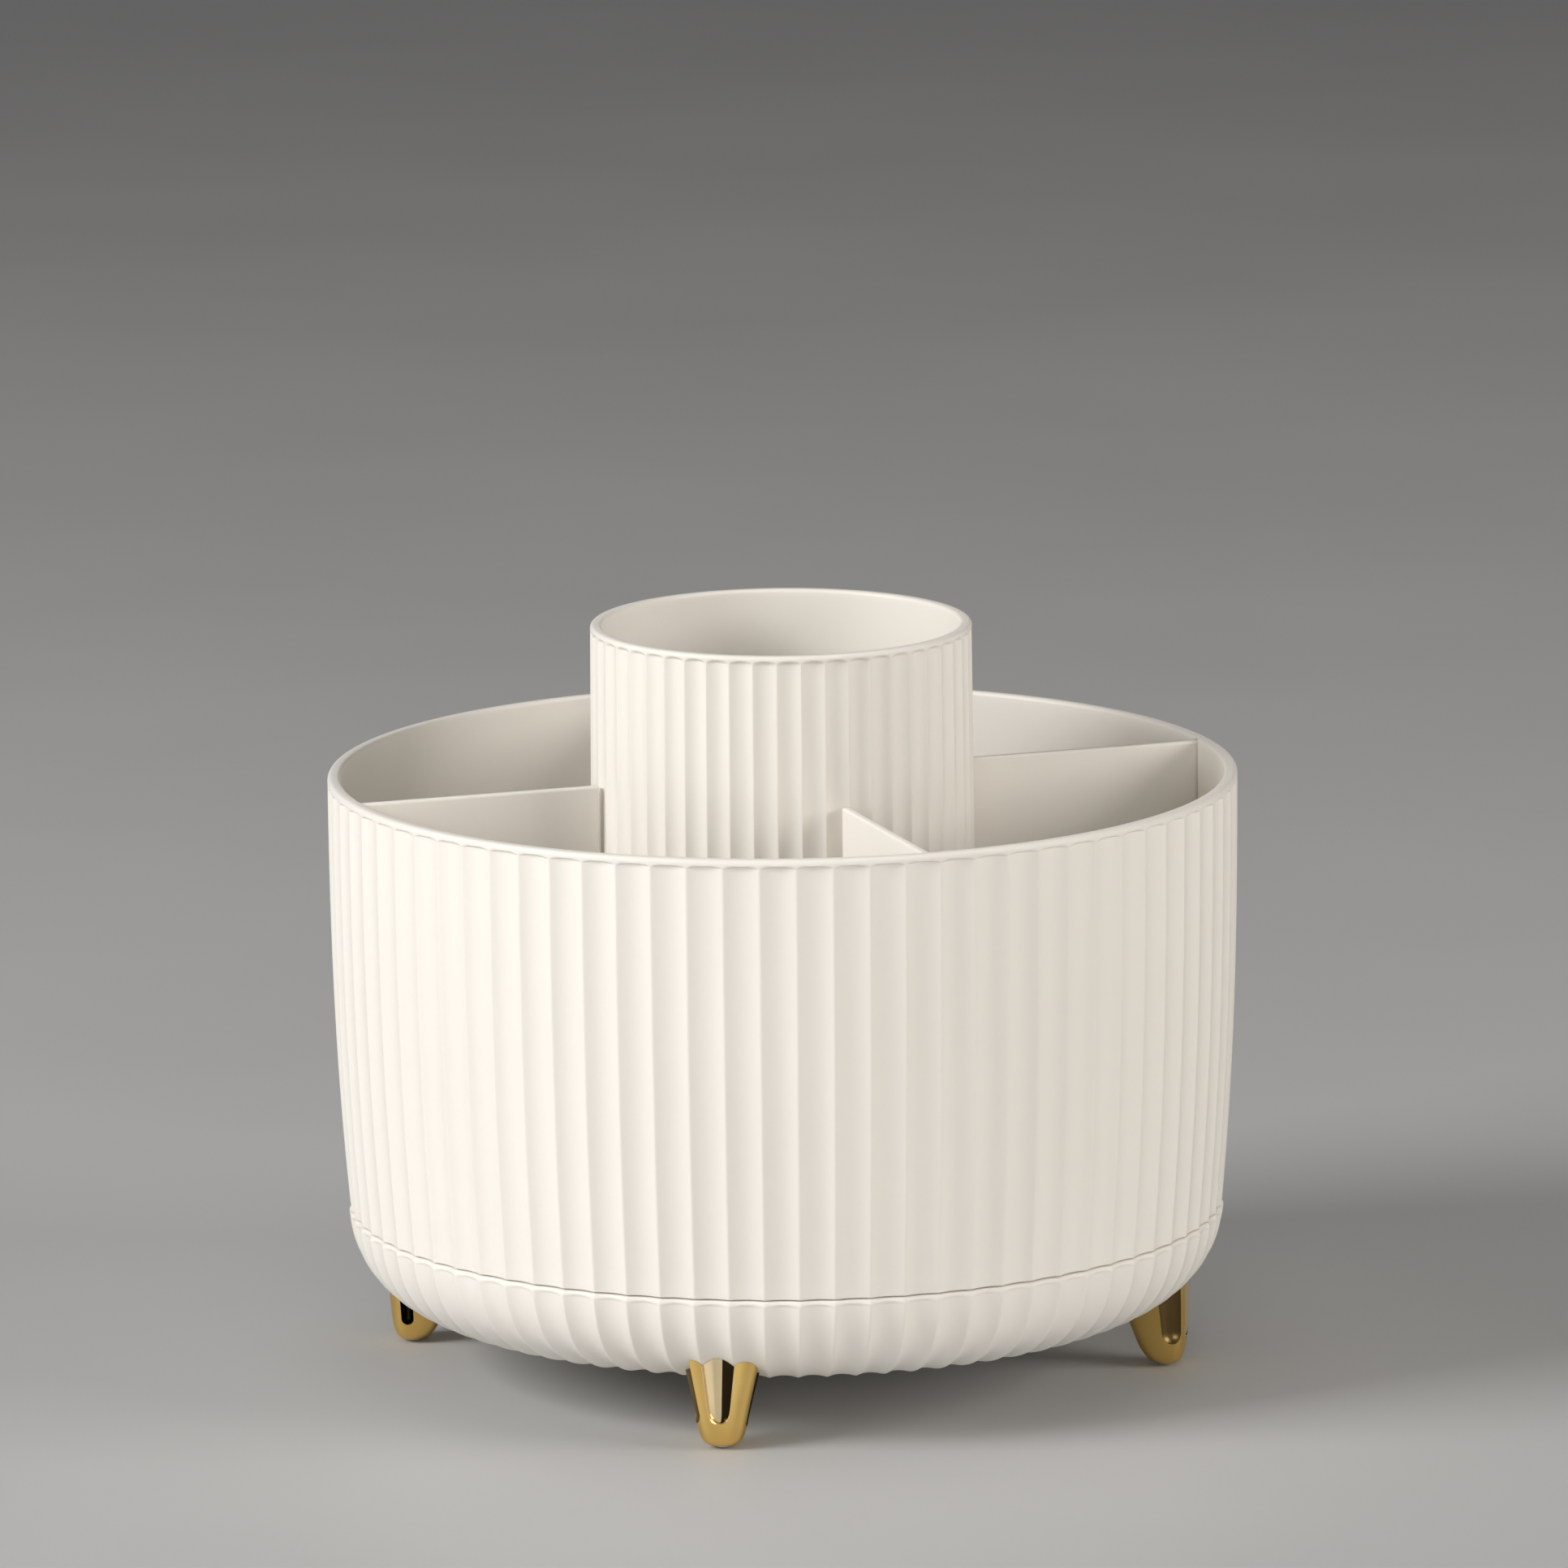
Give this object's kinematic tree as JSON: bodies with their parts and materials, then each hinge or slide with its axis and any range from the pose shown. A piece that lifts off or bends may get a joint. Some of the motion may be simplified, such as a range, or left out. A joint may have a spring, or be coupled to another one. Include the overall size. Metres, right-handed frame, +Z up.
{
  "type": "rotating makeup brush holder",
  "caption": "Round fluted desktop holder that turns on a low footed base, with a raised centre cup and lift-out dividers around it, for makeup brushes and cosmetics.",
  "frame": {"origin": "on the table, at the centre under the object", "axes": "+Z up along the axis that the tub turns about; -Y towards the front foot, +X towards the right foot"},
  "size_m": [0.17, 0.17, 0.14],
  "materials": {
    "cream_plastic": "satin ivory moulded plastic",
    "gold_plating": "polished gold plating",
    "zinc_steel": "zinc plated steel",
    "white_acetal": "smooth white bearing plastic",
    "clear_pad": "soft translucent pad"
  },
  "bodies": {
    "base": {"base_deck": "cream_plastic", "base_screw_1": "zinc_steel", "base_screw_2": "zinc_steel", "base_screw_3": "zinc_steel", "base_screw_4": "zinc_steel", "base_shell": "cream_plastic", "foot_back": "gold_plating", "foot_front": "gold_plating", "foot_left": "gold_plating", "foot_pad_1": "clear_pad", "foot_pad_2": "clear_pad", "foot_pad_3": "clear_pad", "foot_pad_4": "clear_pad", "foot_right": "gold_plating", "foot_screw_1": "zinc_steel", "foot_screw_2": "zinc_steel", "foot_screw_3": "zinc_steel", "foot_screw_4": "zinc_steel", "foot_washer_1": "zinc_steel", "foot_washer_2": "zinc_steel", "foot_washer_3": "zinc_steel", "foot_washer_4": "zinc_steel", "lower_race": "white_acetal", "lower_race_screw_1": "zinc_steel", "lower_race_screw_2": "zinc_steel", "lower_race_screw_3": "zinc_steel", "pivot_bush": "white_acetal"},
    "carousel": {"center_cup": "cream_plastic", "cup_screw_1": "zinc_steel", "cup_screw_2": "zinc_steel", "cup_screw_3": "zinc_steel", "outer_tub": "cream_plastic", "pivot_bolt": "zinc_steel", "pivot_nut": "zinc_steel", "pivot_washer": "zinc_steel", "upper_race": "white_acetal", "upper_race_screw_1": "zinc_steel", "upper_race_screw_2": "zinc_steel", "upper_race_screw_3": "zinc_steel"},
    "ball_ring": {"ball_cage": "white_acetal", "bearing_ball_1": "zinc_steel", "bearing_ball_10": "zinc_steel", "bearing_ball_2": "zinc_steel", "bearing_ball_3": "zinc_steel", "bearing_ball_4": "zinc_steel", "bearing_ball_5": "zinc_steel", "bearing_ball_6": "zinc_steel", "bearing_ball_7": "zinc_steel", "bearing_ball_8": "zinc_steel", "bearing_ball_9": "zinc_steel"},
    "divider_back_left": {"divider_back_left": "cream_plastic"},
    "divider_back_right": {"divider_back_right": "cream_plastic"},
    "divider_front_left": {"divider_front_left": "cream_plastic"},
    "divider_front_right": {"divider_front_right": "cream_plastic"}
  },
  "joints": [
    {"name": "tub_spin", "type": "hinge", "parent": "base", "child": "carousel", "pos_m": [0, 0, 0], "axis": [0, 0, 1], "continuous": true},
    {"name": "ball_ring_spin", "type": "hinge", "parent": "base", "child": "ball_ring", "pos_m": [0, 0, 0], "axis": [0, 0, 1], "continuous": true},
    {"name": "divider_back_left_lift", "type": "slide", "parent": "carousel", "child": "divider_back_left", "axis": [0, 0, 1], "range_m": [0, 0.08]},
    {"name": "divider_back_right_lift", "type": "slide", "parent": "carousel", "child": "divider_back_right", "axis": [0, 0, 1], "range_m": [0, 0.08]},
    {"name": "divider_front_left_lift", "type": "slide", "parent": "carousel", "child": "divider_front_left", "axis": [0, 0, 1], "range_m": [0, 0.08]},
    {"name": "divider_front_right_lift", "type": "slide", "parent": "carousel", "child": "divider_front_right", "axis": [0, 0, 1], "range_m": [0, 0.08]}
  ],
  "couplings": [
    {"joint": "ball_ring_spin", "follows": "tub_spin", "ratio": 0.5}
  ]
}
